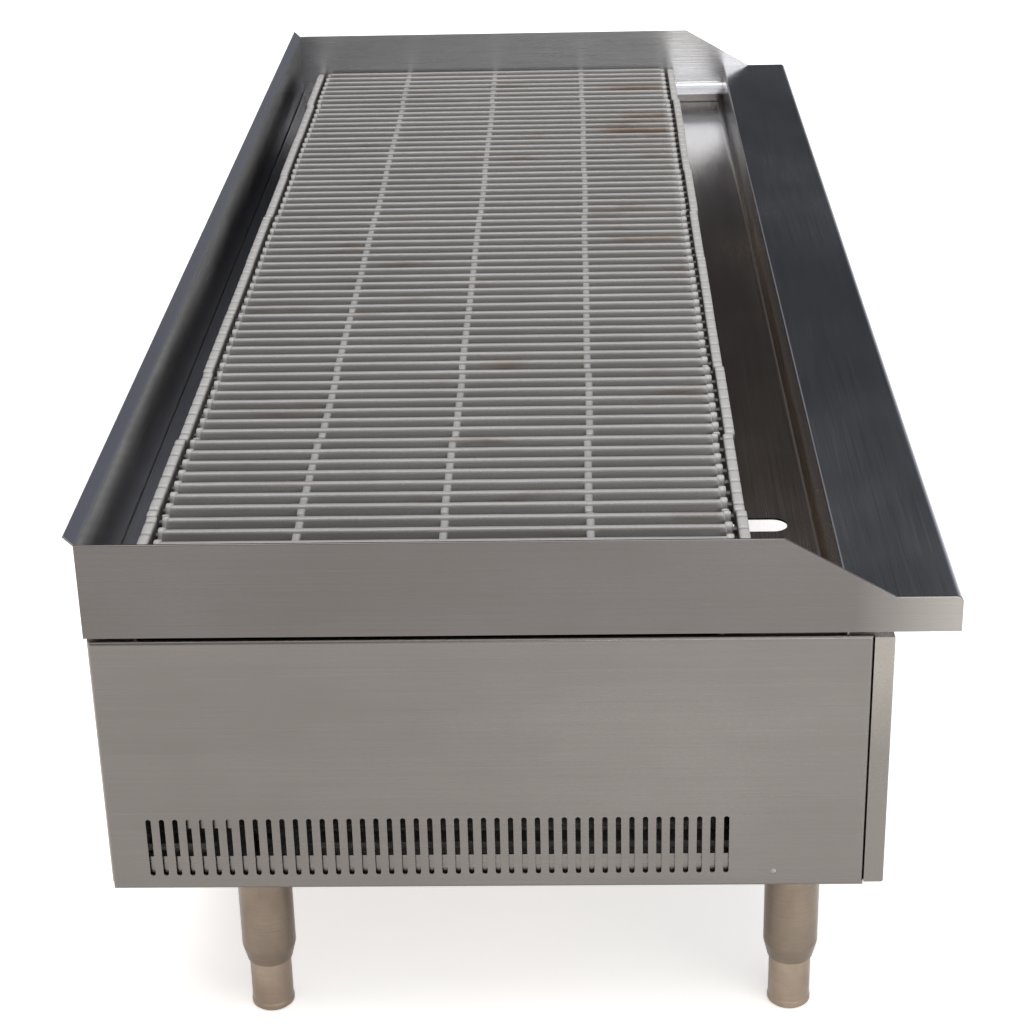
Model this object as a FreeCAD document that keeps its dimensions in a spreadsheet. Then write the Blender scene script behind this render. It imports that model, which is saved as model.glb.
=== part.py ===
import math
import os
import re

import FreeCAD
import Part
import Sketcher

# Countertop gas charbroiler, 60 inches long.
# X runs along the length, the cook stands at -Y, Z is up, and the feet rest on Z = 0.
# Every piece is drawn in a frame of its own whose Y is measured back from the front edge of the shelf.

doc = FreeCAD.newDocument("Charbroiler")
dims = doc.addObject("Spreadsheet::Sheet", "Dims")

SIZES = [
    # overall
    ("length", 1524, "overall length"),
    ("half_depth", 326, "half the depth from shelf nose to the end of the gas inlet"),
    ("sheet", 1.2, "casing sheet thickness"),
    ("heavy", 1.5, "shelf and back splash sheet thickness"),
    ("fit_gap", 0.2, "gap between neighbouring fixed sheets"),
    ("slide_gap", 0.3, "gap between fixed and moving pieces"),
    ("half_root", 0.7071, "cosine of 45 degrees"),
    ("bend_tan", 0.4142, "tangent of half of 45 degrees"),
    ("through", 6, "depth of a cut through one sheet, half of it each way"),
    ("beyond", 1, "how far a cut runs past the metal"),
    # splash and shelf
    ("splash_top", 423, "height of the splash top"),
    ("splash_low", 349.2, "height of the splash bottom edge"),
    ("splash_thick", 2, "side splash thickness"),
    ("splash_edge", 0.8, "rounding of the outer edges of a side splash"),
    ("splash_back", 627.5, "back face of the splash"),
    ("slope_low_at", 47.2, "front end of the sloping top edge"),
    ("slope_high_at", 127.4, "back end of the sloping top edge"),
    ("shelf_top", 376.5, "height of the shelf"),
    ("shelf_end", 80.4, "inner edge of the shelf, front wall of the trough"),
    ("nose_return", 14, "width of the flange under the shelf nose"),
    ("nose_bend", 4.5, "outer bend radius of the shelf nose"),
    ("nose_lift", 0.5, "underside of the shelf nose above the splash bottom edge"),
    ("tight_bend", 1, "inner radius of the sharp bends of the shelf"),
    ("end_relief", 5, "cut-back of the trough and back flange inside the side panels"),
    ("trough_floor", 329, "height of the trough floor"),
    ("trough_back", 172, "back wall of the trough"),
    ("trough_upstand", 345, "top of the trough back wall"),
    ("trough_bend", 8, "bend radius between trough wall and floor"),
    ("ledge", 40, "width of the ledge inside the side splash"),
    ("ledge_bend", 6, "bend radius between side splash and ledge"),
    ("back_ledge_at", 590, "front edge of the ledge inside the back splash"),
    ("flange_low", 335, "bottom of the flange under the back ledge"),
    ("inner_bend", 2, "inner radius of the back splash bends"),
    ("lip_start", 422, "height where the back lip starts to flare"),
    ("lip_reach", 8, "flare of the back lip, back and up"),
    ("drain_at", -538.5, "X of the drain slot"),
    ("drain_front", 104, "front end of the drain slot"),
    ("drain_back", 159, "back end of the drain slot"),
    ("drain_wide", 25, "width of the drain slot"),
    # lower casing
    ("body_bottom", 135, "underside of the casing"),
    ("panel_top", 346, "top of the side panels"),
    ("panel_front", 61.3, "front edge of the side panels"),
    ("panel_back", 625, "back edge of the side panels"),
    ("rim", 14, "width of the flanges round a panel"),
    ("base_flange", 78, "width of the bottom flange of a side panel"),
    ("upstand_gap", 2.5, "gap between a side panel and the upstand behind it"),
    ("upstand_high", 162, "top of that upstand"),
    ("upstand_ends", 12, "cut-back of its ends"),
    ("clip_front", 531, "front end of the clip behind the vent slots"),
    ("clip_back", 567, "back end of that clip"),
    ("clip_low", 185.6, "bottom of that clip"),
    ("clip_high", 206, "top of that clip"),
    ("clip_foot", 4, "height of the foot that joins it to the panel"),
    ("clip_gap", 4, "gap between the panel and the clip"),
    ("panel_bend", 3, "outer bend radius of the side panels"),
    ("face_at", 46.5, "front face of the control panel"),
    ("face_low", 138.4, "bottom of the control panel"),
    ("face_high", 345, "top of the control panel"),
    ("face_bend", 1.6, "outer bend radius of the control panel"),
    ("vent_count", 44, "vent slots in a side panel"),
    ("vent_pitch", 10, "pitch of the vent slots"),
    ("vent_first", 164, "front vent slot"),
    ("vent_low", 147.3, "bottom of the vent slots"),
    ("vent_high", 196.6, "top of the vent slots"),
    ("vent_wide", 4, "width of a vent slot"),
    ("rear_vent_count", 30, "vent slots in the back panel"),
    ("rear_vent_pitch", 44, "pitch of the back vent slots"),
    ("rear_vent_low", 200, "bottom of the back vent slots"),
    ("rear_vent_high", 222, "top of the back vent slots"),
    ("rear_vent_wide", 8, "width of a back vent slot"),
    ("back_inset", 6, "back panel end, in from the casing end"),
    ("back_gap", 0.1, "gap between the side panels and the back panel"),
    ("panel_screw_at", 128.5, "screw in the side panel, back from the front edge"),
    ("panel_screw_high", 148.3, "height of that screw"),
    ("panel_screw_radius", 2, "hole radius of that screw"),
    ("panel_screw_long", 4.8, "length of that screw"),
    ("panel_screw_cut", 14.4, "depth of the cut for its hole, through panel and upstand"),
    # firebox
    ("firebox_half", 718.8, "half the inner length of the firebox"),
    ("firebox_front", 174, "front face of the firebox front wall"),
    ("firebox_back", 588, "back face of the firebox back wall"),
    ("firebox_low", 203, "bottom of the firebox walls"),
    ("firebox_high", 345, "top of the firebox end walls"),
    ("rail_leg", 20, "leg of the angle bars that carry the grates"),
    ("rail_thick", 3, "thickness of those angle bars"),
    # grates
    ("grate_count", 10, "number of grates"),
    ("grate_module", 151.7, "pitch of the grates"),
    ("grate_width", 150, "width of one grate"),
    ("grate_length", 463, "length of one grate"),
    ("grate_front", 142.2, "front end of the grates"),
    ("rod_top", 377, "height of the rod tops"),
    ("rod_depth", 20, "depth of a rod"),
    ("rod_wide", 6.2, "width of a rod at its top"),
    ("rod_narrow", 4, "width of a rod at its bottom"),
    ("rod_count", 7, "rods in a grate"),
    ("rod_pitch", 21.45, "pitch of the rods"),
    ("rod_step_start", 18, "where the step down begins, from the grate end"),
    ("rod_step_end", 15, "foot of that step"),
    ("rod_step_drop", 6, "drop of the rod end"),
    ("bar_count", 3, "cross bars between the outer two"),
    ("bar_pitch", 111.3, "pitch of those bars"),
    ("bar_inset", 15.5, "outer cross bars, from the grate end"),
    ("bar_wide", 7, "width of a cross bar"),
    ("bar_drop", 3, "cross bar top below the rod tops"),
    ("end_bar_wide", 9, "width of the end bar"),
    ("end_bar_drop", 2.5, "end bar top below the rod tops"),
    # burners and gas
    ("zone", 286, "pitch of the burners"),
    ("zone_count", 5, "number of burners"),
    ("gas_high", 275, "height of burner and valve axes"),
    ("burner_leg_at", 70, "burner leg, from the zone centre"),
    ("burner_radius", 14, "burner tube radius"),
    ("tube_wall", 2, "burner tube wall"),
    ("burner_front", 215, "front of the burner loop"),
    ("burner_back", 585, "back ends of the burner legs"),
    ("burner_turn", 35, "bend radius of the burner loop"),
    ("venturi_front", 116, "open end of the burner inlet"),
    ("venturi_hole", 17, "radius of the hole for the burner inlet"),
    ("radiant_low", 298, "height of the radiant edges"),
    ("radiant_high", 334, "height of the radiant ridges"),
    ("radiant_half", 140, "half the width of a radiant"),
    ("radiant_flat", 10, "flat edge of a radiant"),
    ("radiant_thick", 2, "radiant plate thickness"),
    ("pipe_radius", 13.35, "gas pipe radius"),
    ("pipe_bore", 10.5, "gas pipe bore radius"),
    ("manifold_high", 245, "height of the manifold"),
    ("manifold_at", 74, "manifold axis"),
    ("manifold_left", -700, "closed end of the manifold"),
    ("manifold_turn", 35, "bend radius of the manifold"),
    ("inlet_at", 734, "X of the gas inlet"),
    ("inlet_end", 652, "end of the gas inlet"),
    ("thread_radius", 13.1, "radius of the inlet's threaded end"),
    ("thread_length", 24, "length of that end"),
    ("cap_wall", 2, "wall of the cap on the manifold's closed end"),
    ("boss_start", 1, "start of a valve boss above the pipe's bore"),
    ("boss_radius", 9, "valve boss radius"),
    ("boss_top", 262, "top of the valve bosses"),
    ("valve_radius", 11, "valve body radius"),
    ("valve_foot", 7, "radius of the valve's foot on its boss"),
    ("valve_front", 56, "front of the valve body"),
    ("valve_back", 98, "back of the valve body"),
    ("valve_outlet", 112, "tip of the valve outlet"),
    ("outlet_radius", 5, "valve outlet radius"),
    ("stem_front", 30, "front end of the valve stem"),
    ("stem_radius", 4, "valve stem radius"),
    ("stem_hole", 7, "radius of the stem hole in the control panel"),
    ("pilot_at", 92, "pilot gas line axis"),
    ("pilot_high", 302, "height of the pilot gas line"),
    ("pilot_half", 640, "half the length of the pilot gas line"),
    ("pilot_radius", 3, "pilot gas line radius"),
    ("pilot_bore", 2, "pilot gas line bore radius"),
    # knobs
    ("knob_front", 26.5, "front face of a knob"),
    ("knob_back", 45.3, "back face of a knob"),
    ("knob_skirt", 24, "skirt radius"),
    ("knob_skirt_thick", 4, "skirt thickness"),
    ("knob_root", 19, "grip radius at the skirt"),
    ("knob_tip", 16.5, "grip radius at the front"),
    ("knob_edge", 1.5, "chamfer of the grip edge"),
    ("knob_bore", 4.06, "bore radius"),
    ("knob_bore_end", 29.5, "bottom of the bore"),
    ("grip_half", 6, "half the width of the finger grip"),
    # drip trays
    ("tray_centre", 360, "X of a drip tray's middle"),
    ("tray_half", 340, "half the width of a drip tray"),
    ("tray_low", 150, "underside of a drip tray"),
    ("tray_high", 190, "rim of a drip tray"),
    ("tray_front", 178, "front wall of the pan"),
    ("tray_back", 600, "back wall of the pan"),
    ("tray_sheet", 1.2, "drip tray sheet thickness"),
    ("well_left", -280, "left side of the grease well, from the tray middle"),
    ("well_right", -80, "right side of the grease well"),
    ("arm_out", 330, "outer side of the arms"),
    ("arm_wide", 18, "width of the arms"),
    ("arm_high", 166, "top of the arms"),
    ("plate_half", 357, "half the width of the tray front"),
    ("plate_low", 143, "bottom of the tray front"),
    ("plate_high", 199, "top of the tray front"),
    ("opening_half", 350, "half the width of the tray opening"),
    ("opening_low", 147, "bottom of the tray opening"),
    ("opening_high", 195, "top of the tray opening"),
    ("pull_half", 80, "half the width of the tray pull"),
    ("pull_reach", 15, "reach of the tray pull"),
    ("pull_high", 178, "top of the tray pull"),
    ("pull_drop", 12, "depth of the tray pull"),
    ("slide_out", 706, "outer side of the tray slides"),
    ("slide_wide", 22, "width of the tray slides"),
    ("slide_low", 139.5, "underside of the tray slides"),
    ("middle_slide_half", 36, "half the width of the slide between the trays"),
    ("slide_front", 62, "front end of the tray slides"),
    ("slide_back", 618, "back end of the tray slides"),
    # legs and feet
    ("leg_at", 717, "X of the legs"),
    ("leg_front", 109.7, "front legs"),
    ("leg_back", 517.7, "back legs"),
    ("leg_radius", 21, "leg tube radius"),
    ("leg_low", 44, "bottom of the leg"),
    ("leg_shoulder", 57, "height where the leg starts to narrow"),
    ("leg_round", 5.25, "rounding of that shoulder"),
    ("leg_mouth", 17.8, "outer radius at the leg's mouth"),
    ("leg_bore", 17, "bore radius of the leg"),
    ("leg_plug", 96, "underside of the threaded plug in the leg"),
    ("plug_bore", 8.6, "bore of that plug"),
    ("plug_bore_end", 130, "top of that bore"),
    ("stud_radius", 5, "leg stud radius"),
    ("stud_top", 152, "top of the leg stud"),
    ("foot_radius", 16.2, "foot radius"),
    ("foot_rim", 16.8, "radius of the rim at the foot's bottom"),
    ("foot_rim_high", 5, "height of that rim"),
    ("foot_edge", 2, "chamfer of the foot's bottom edge"),
    ("foot_top", 72, "shoulder of the foot inside the leg"),
    ("foot_stem", 8, "radius of the foot's threaded stem"),
    ("foot_stem_top", 112, "top of that stem"),
    ("plate_side", 76, "side of a leg plate"),
    ("leg_plate_thick", 3, "leg plate thickness"),
    ("leg_plate_out", 756.8, "outer edge of a leg plate"),
    ("nut_radius", 9.8, "corner radius of a leg nut"),
    ("nut_high", 7, "height of a leg nut"),
    ("head_radius", 4, "radius of a back panel screw head"),
    ("head_high", 1, "height of that head"),
]

for row, (alias, value, note) in enumerate(SIZES, 1):
    dims.set(f"A{row}", note)
    dims.set(f"B{row}", str(value))
    dims.setAlias(f"B{row}", alias)
doc.recompute()


def cells(text):
    """Turn the plain names in an expression into names of cells in the sheet."""
    return re.sub(r"[a-z][a-z_]+", lambda word: "Dims." + word.group(0), text)


def size(text):
    """The value of an expression."""
    return float(dims.evalExpression(cells(text)))


def bind(item, **expressions):
    """Bind properties of a feature to expressions; a double underscore stands for a dot."""
    for name, text in expressions.items():
        item.setExpression(name.replace("__", "."), cells(text))


def new_body(label, x="0", y="0"):
    """An empty body whose frame starts at the front edge of the shelf."""
    body = doc.addObject("PartDesign::Body", label)
    body.Label = label
    bind(body, Placement__Base__x=x, Placement__Base__y=f"{y} - half_depth")
    return body


def new_sketch(body, role, offset="0", rise="0"):
    """A sketch on one of the body's origin planes, moved by offset along +X, +Y or +Z."""
    sketch = body.newObject("Sketcher::SketchObject", body.Name + "_sketch")
    plane = next(item for item in body.Origin.OriginFeatures if item.Role == role)
    sketch.AttachmentSupport = [(plane, "")]
    sketch.MapMode = "FlatFace"
    sign = "-1" if role == "XZ_Plane" else "1"
    bind(sketch, AttachmentOffset__Base__z=f"{sign} * ({offset})", AttachmentOffset__Base__y=rise)
    return sketch


def hold(sketch, kind, geometry, point, text):
    """Hold one coordinate of a point at an expression."""
    value = size(text)
    index = sketch.addConstraint(Sketcher.Constraint(kind, geometry, point, value))
    sketch.setExpression(f"Constraints[{index}]", cells(text))


def outline(sketch, corners):
    """A closed outline of straight lines, each corner held by two dimensions."""
    first = sketch.GeometryCount
    points = [FreeCAD.Vector(size(across), size(up), 0) for across, up in corners]
    for here, there in zip(points, points[1:] + points[:1]):
        sketch.addGeometry(Part.LineSegment(here, there), False)
    for index, (across, up) in enumerate(corners):
        following = (index + 1) % len(corners)
        join = Sketcher.Constraint("Coincident", first + index, 2, first + following, 1)
        sketch.addConstraint(join)
        hold(sketch, "DistanceX", first + index, 1, across)
        hold(sketch, "DistanceY", first + index, 1, up)


def rectangle(sketch, left, low, right, high):
    outline(sketch, [(left, low), (right, low), (right, high), (left, high)])


def circle(sketch, across, up, radius):
    centre = FreeCAD.Vector(size(across), size(up), 0)
    index = sketch.addGeometry(Part.Circle(centre, FreeCAD.Vector(0, 0, 1), size(radius)), False)
    hold(sketch, "DistanceX", index, 3, across)
    hold(sketch, "DistanceY", index, 3, up)
    limit = sketch.addConstraint(Sketcher.Constraint("Radius", index, size(radius)))
    sketch.setExpression(f"Constraints[{limit}]", cells(radius))


def obround(sketch, across, low, high, width):
    """An upright slot with round ends, from low to high."""
    radius = size(width) / 2
    middle = size(across)
    bottom = size(low) + radius
    top = size(high) - radius
    up = FreeCAD.Vector(0, 0, 1)

    def spot(across, height):
        return FreeCAD.Vector(across, height, 0)

    crown = Part.Circle(spot(middle, top), up, radius)
    heel = Part.Circle(spot(middle, bottom), up, radius)
    pieces = [
        Part.LineSegment(spot(middle + radius, bottom), spot(middle + radius, top)),
        Part.ArcOfCircle(crown, 0, math.pi),
        Part.LineSegment(spot(middle - radius, top), spot(middle - radius, bottom)),
        Part.ArcOfCircle(heel, math.pi, 2 * math.pi),
    ]
    first = sketch.GeometryCount
    for piece in pieces:
        sketch.addGeometry(piece, False)
    for index in range(4):
        following = (index + 1) % 4
        join = Sketcher.Constraint("Coincident", first + index, 2, first + following, 1)
        sketch.addConstraint(join)
    for index, side, ends in ((0, "+", (low, high)), (2, "-", (high, low))):
        signs = ("+", "-") if ends[0] == low else ("-", "+")
        for point, end, sign in zip((1, 2), ends, signs):
            hold(sketch, "DistanceX", first + index, point, f"{across} {side} {width} / 2")
            hold(sketch, "DistanceY", first + index, point, f"{end} {sign} {width} / 2")
    hold(sketch, "DistanceY", first + 1, 3, f"{high} - {width} / 2")
    hold(sketch, "DistanceY", first + 3, 3, f"{low} + {width} / 2")


def pad(body, sketch, length, reverse=False, middle=False):
    feature = body.newObject("PartDesign::Pad", body.Name + "_pad")
    feature.Profile = sketch
    bind(feature, Length=length)
    feature.Reversed = reverse
    feature.Midplane = middle
    doc.recompute()
    return feature


def pocket(body, sketch, length, reverse=False, middle=False):
    """Cut a pocket and make sure that it took material away."""
    before = body.Shape.Volume
    feature = body.newObject("PartDesign::Pocket", body.Name + "_pocket")
    feature.Profile = sketch
    bind(feature, Length=length)
    feature.Reversed = reverse
    feature.Midplane = middle
    doc.recompute()
    assert body.Shape.Volume < before, f"{feature.Name} cuts nothing"
    return feature


def pattern(body, feature, sketch, axis, count, pitch):
    """Repeat a feature in a row along an axis of its own sketch."""
    row = body.newObject("PartDesign::LinearPattern", body.Name + "_row")
    row.Originals = [feature]
    row.Direction = (sketch, [axis])
    bind(row, Length=f"({count} - 1) * {pitch}", Occurrences=count)
    body.Tip = row
    doc.recompute()
    return row


def turned(body, sketch, axis):
    """A full turn of a profile about an axis of its sketch."""
    feature = body.newObject("PartDesign::Revolution", body.Name + "_turned")
    feature.Profile = sketch
    feature.ReferenceAxis = (sketch, [axis])
    feature.Angle = 360
    doc.recompute()
    return feature


def round_edges(body, radius, keep):
    """Round every edge of the body for which keep(edge) holds."""
    base = body.Tip
    names = [f"Edge{index}" for index, edge in enumerate(base.Shape.Edges, 1) if keep(edge)]
    assert names, f"no edge to round on {body.Name}"
    feature = body.newObject("PartDesign::Fillet", body.Name + "_round")
    feature.Base = (base, names)
    bind(feature, Radius=radius)
    doc.recompute()
    return feature


def along_x(edge, corners):
    """True for a straight edge along X that passes through one of the (Y, Z) corners."""
    start, end = edge.Vertexes[0].Point, edge.Vertexes[-1].Point
    if abs(start.y - end.y) > 0.01 or abs(start.z - end.z) > 0.01 or abs(start.x - end.x) < 1:
        return False
    return any(abs(start.y - size(y)) < 0.01 and abs(start.z - size(z)) < 0.01 for y, z in corners)


def in_plane(edge, axis, text):
    """True for an edge that lies in the plane where one coordinate equals an expression."""
    return all(abs(getattr(vertex.Point, axis) - size(text)) < 0.01 for vertex in edge.Vertexes)


def level(edge):
    """True for an edge that lies in one horizontal plane."""
    return edge.BoundBox.ZLength < 0.01


def mirrored(source, label):
    """The opposite-hand copy of a piece."""
    twin = doc.addObject("Part::Mirroring", label)
    twin.Label = label
    twin.Source = source
    twin.Normal = FreeCAD.Vector(1, 0, 0)
    return twin


def box(label, left, right, front, back, low, high):
    """A plain flat sheet or bar, given by its six faces."""
    item = doc.addObject("Part::Box", label)
    item.Label = label
    bind(item, Length=f"{right} - ({left})", Width=f"{back} - ({front})", Height=f"{high} - ({low})")
    bind(item, Placement__Base__x=left, Placement__Base__z=low)
    bind(item, Placement__Base__y=f"{front} - half_depth")
    return item


# ---- casing ----


def side_panel():
    """Lower left side: a folded pan with a wide bottom flange and a row of vent slots."""
    body = new_body("left_side_panel")
    outside = "-length / 2"
    sketch = new_sketch(body, "YZ_Plane", outside)
    rectangle(sketch, "panel_front", "body_bottom", "panel_back", "panel_top")
    pad(body, sketch, "rim")
    round_edges(body, "panel_bend", lambda edge: in_plane(edge, "x", outside))
    sketch = new_sketch(body, "YZ_Plane", f"{outside} + rim")
    inside = ("panel_front + sheet", "body_bottom + sheet", "panel_back - sheet", "panel_top - sheet")
    rectangle(sketch, *inside)
    pocket(body, sketch, "rim - sheet")
    round_edges(body, "panel_bend - sheet", lambda edge: in_plane(edge, "x", f"{outside} + sheet"))
    sketch = new_sketch(body, "XY_Plane", "body_bottom")
    rectangle(sketch, f"{outside} + rim - sheet", "panel_front", f"{outside} + base_flange", "panel_back")
    pad(body, sketch, "sheet")
    sketch = new_sketch(body, "YZ_Plane", f"{outside} + sheet + upstand_gap")
    ends = ("panel_front + upstand_ends", "panel_back - upstand_ends")
    rectangle(sketch, ends[0], "body_bottom + sheet / 2", ends[1], "upstand_high")
    pad(body, sketch, "sheet")
    sketch = new_sketch(body, "YZ_Plane", f"{outside} + sheet + clip_gap")
    rectangle(sketch, "clip_front", "clip_low", "clip_back", "clip_high")
    pad(body, sketch, "sheet")
    sketch = new_sketch(body, "YZ_Plane", f"{outside} + sheet / 2")
    rectangle(sketch, "clip_front", "clip_high - clip_foot", "clip_back", "clip_high")
    pad(body, sketch, "sheet / 2 + clip_gap + sheet / 2")
    sketch = new_sketch(body, "XY_Plane", "panel_top")
    clear = "(heavy + slide_gap)"
    notch = (f"{outside} + end_relief - slide_gap", f"{outside} + rim + beyond")
    rectangle(sketch, notch[0], f"shelf_end - {clear}", notch[1], f"trough_back + {clear}")
    rectangle(sketch, notch[0], "back_ledge_at - slide_gap", notch[1], f"back_ledge_at + {clear}")
    pocket(body, sketch, "through", middle=True)
    sketch = new_sketch(body, "XY_Plane", "body_bottom")
    for leg in ("leg_front", "leg_back"):
        circle(sketch, "-leg_at", leg, "stud_radius + slide_gap")
    pocket(body, sketch, "through", middle=True)
    sketch = new_sketch(body, "YZ_Plane", outside)
    circle(sketch, "panel_screw_at", "panel_screw_high", "panel_screw_radius")
    pocket(body, sketch, "panel_screw_cut", middle=True)
    sketch = new_sketch(body, "YZ_Plane", outside)
    obround(sketch, "vent_first", "vent_low", "vent_high", "vent_wide")
    slot = pocket(body, sketch, "through", middle=True)
    pattern(body, slot, sketch, "H_Axis", "vent_count", "vent_pitch")
    mirrored(body, "right_side_panel")


def control_panel():
    """Front of the lower casing: a shallow pan with stem holes and two tray openings."""
    body = new_body("control_panel")
    sketch = new_sketch(body, "XZ_Plane", "face_at")
    rectangle(sketch, "-length / 2", "face_low", "length / 2", "face_high")
    pad(body, sketch, "panel_front - face_at - fit_gap", reverse=True)
    round_edges(body, "face_bend", lambda edge: in_plane(edge, "y", "face_at"))
    sketch = new_sketch(body, "XZ_Plane", "panel_front - fit_gap")
    inner_half = "(length / 2 - sheet)"
    rectangle(sketch, f"-{inner_half}", "face_low + sheet", inner_half, "face_high - sheet")
    pocket(body, sketch, "panel_front - fit_gap - face_at - sheet", reverse=True)
    sketch = new_sketch(body, "XZ_Plane", "face_at")
    for middle in ("-tray_centre", "tray_centre"):
        left, right = f"{middle} - opening_half", f"{middle} + opening_half"
        rectangle(sketch, left, "opening_low", right, "opening_high")
    pocket(body, sketch, "through", middle=True)
    sketch = new_sketch(body, "XZ_Plane", "face_at")
    circle(sketch, "-zone * (zone_count - 1) / 2", "gas_high", "stem_hole")
    hole = pocket(body, sketch, "through", middle=True)
    pattern(body, hole, sketch, "H_Axis", "zone_count", "zone")


def back_panel():
    """Flat sheet across the back with a row of vents and the gas inlet hole."""
    body = new_body("back_panel")
    sketch = new_sketch(body, "XZ_Plane", "panel_back + back_gap")
    rectangle(sketch, "back_inset - length / 2", "face_low", "length / 2 - back_inset", "face_high")
    pad(body, sketch, "sheet", reverse=True)
    sketch = new_sketch(body, "XZ_Plane", "panel_back")
    circle(sketch, "inlet_at", "manifold_high", "pipe_radius + slide_gap")
    pocket(body, sketch, "through", middle=True)
    sketch = new_sketch(body, "XZ_Plane", "panel_back")
    first = "-rear_vent_pitch * (rear_vent_count - 1) / 2"
    obround(sketch, first, "rear_vent_low", "rear_vent_high", "rear_vent_wide")
    slot = pocket(body, sketch, "through", middle=True)
    pattern(body, slot, sketch, "H_Axis", "rear_vent_count", "rear_vent_pitch")


def side_splash():
    """Upper left side: upright plate with a sloping front, its bottom edge folded in as a ledge."""
    body = new_body("left_splash")
    outside = "-length / 2"
    corners = [
        ("0", "splash_low"),
        ("0", "shelf_top"),
        ("slope_low_at", "shelf_top"),
        ("slope_high_at", "splash_top"),
        ("splash_back", "splash_top"),
        ("splash_back", "splash_low"),
    ]
    sketch = new_sketch(body, "YZ_Plane", outside)
    outline(sketch, corners)
    pad(body, sketch, "splash_thick")
    sketch = new_sketch(body, "XY_Plane", "splash_low")
    front = "shelf_end + fit_gap"
    rectangle(sketch, outside, front, f"{outside} + ledge", "back_ledge_at - fit_gap")
    pad(body, sketch, "splash_thick")
    round_edges(body, "nose_bend", lambda edge: along_x(edge, [("0", "shelf_top")]))
    inner = f"{outside} + splash_thick"
    ledge_top = "splash_low + splash_thick"
    round_edges(
        body,
        "ledge_bend",
        lambda edge: in_plane(edge, "x", inner) and in_plane(edge, "z", ledge_top) and edge.Length > 100,
    )
    above = size("shelf_top - nose_bend - beyond")
    round_edges(
        body, "splash_edge", lambda edge: in_plane(edge, "x", outside) and edge.BoundBox.ZMax > above
    )
    mirrored(body, "right_splash")


def relieve_ends(body, low):
    """Cut back both ends of a long folded sheet where they pass inside the side panels."""
    sketch = new_sketch(body, "XZ_Plane", "0")
    for side in ("-1", "1"):
        near, far = f"{side} * (length / 2 - end_relief)", f"{side} * length / 2"
        rectangle(sketch, near, low, far, "splash_low - fit_gap")
    pocket(body, sketch, "splash_back + beyond")


def back_splash():
    """Back wall: flared lip, upright wall, ledge and a short flange down behind the firebox."""
    body = new_body("back_splash")
    inner = "splash_back - heavy"
    ledge_top = "splash_low + heavy"
    tip = f"{inner} + lip_reach"
    sketch = new_sketch(body, "YZ_Plane")
    outline(
        sketch,
        [
            ("back_ledge_at", "flange_low"),
            ("back_ledge_at", ledge_top),
            (inner, ledge_top),
            (inner, "lip_start"),
            (tip, "lip_start + lip_reach"),
            (f"{tip} + heavy * half_root", "lip_start + lip_reach - heavy * half_root"),
            ("splash_back", "lip_start - heavy * bend_tan"),
            ("splash_back", "splash_low"),
            ("back_ledge_at + heavy", "splash_low"),
            ("back_ledge_at + heavy", "flange_low"),
        ],
    )
    pad(body, sketch, "length - 2 * (splash_thick + fit_gap)", middle=True)
    outer_bends = [("splash_back", "splash_low"), ("back_ledge_at", ledge_top)]
    inner_bends = [(inner, ledge_top), ("back_ledge_at + heavy", "splash_low")]
    round_edges(body, "heavy + inner_bend", lambda edge: along_x(edge, outer_bends))
    round_edges(body, "inner_bend", lambda edge: along_x(edge, inner_bends))
    relieve_ends(body, "flange_low - beyond")


def front_shelf():
    """Shelf and grease trough, one folded sheet, with a drain slot in the trough floor."""
    body = new_body("front_shelf")
    nose_low = "splash_low + nose_lift"
    sketch = new_sketch(body, "YZ_Plane")
    outline(
        sketch,
        [
            ("nose_return", nose_low),
            ("0", nose_low),
            ("0", "shelf_top"),
            ("shelf_end", "shelf_top"),
            ("shelf_end", "trough_floor"),
            ("trough_back", "trough_floor"),
            ("trough_back", "trough_upstand"),
            ("trough_back + heavy", "trough_upstand"),
            ("trough_back + heavy", "trough_floor - heavy"),
            ("shelf_end - heavy", "trough_floor - heavy"),
            ("shelf_end - heavy", "shelf_top - heavy"),
            ("heavy", "shelf_top - heavy"),
            ("heavy", f"{nose_low} + heavy"),
            ("nose_return", f"{nose_low} + heavy"),
        ],
    )
    pad(body, sketch, "length - 2 * (splash_thick + fit_gap)", middle=True)
    under_floor = "trough_floor - heavy"
    under_shelf = "shelf_top - heavy"
    bends = [
        ("nose_bend", [("0", "shelf_top")]),
        ("nose_bend - heavy", [("heavy", under_shelf)]),
        ("heavy + tight_bend", [("0", nose_low), ("shelf_end", "shelf_top")]),
        ("tight_bend", [("heavy", f"{nose_low} + heavy"), ("shelf_end - heavy", under_shelf)]),
        ("trough_bend", [("shelf_end", "trough_floor"), ("trough_back", "trough_floor")]),
        ("trough_bend + heavy", [("shelf_end - heavy", under_floor), ("trough_back + heavy", under_floor)]),
    ]
    for radius, corners in bends:
        round_edges(body, radius, lambda edge, corners=corners: along_x(edge, corners))
    sketch = new_sketch(body, "XY_Plane", "trough_floor")
    obround(sketch, "drain_at", "drain_front", "drain_back", "drain_wide")
    pocket(body, sketch, "through", middle=True)
    relieve_ends(body, "trough_floor - heavy - beyond")


# ---- firebox ----


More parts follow.
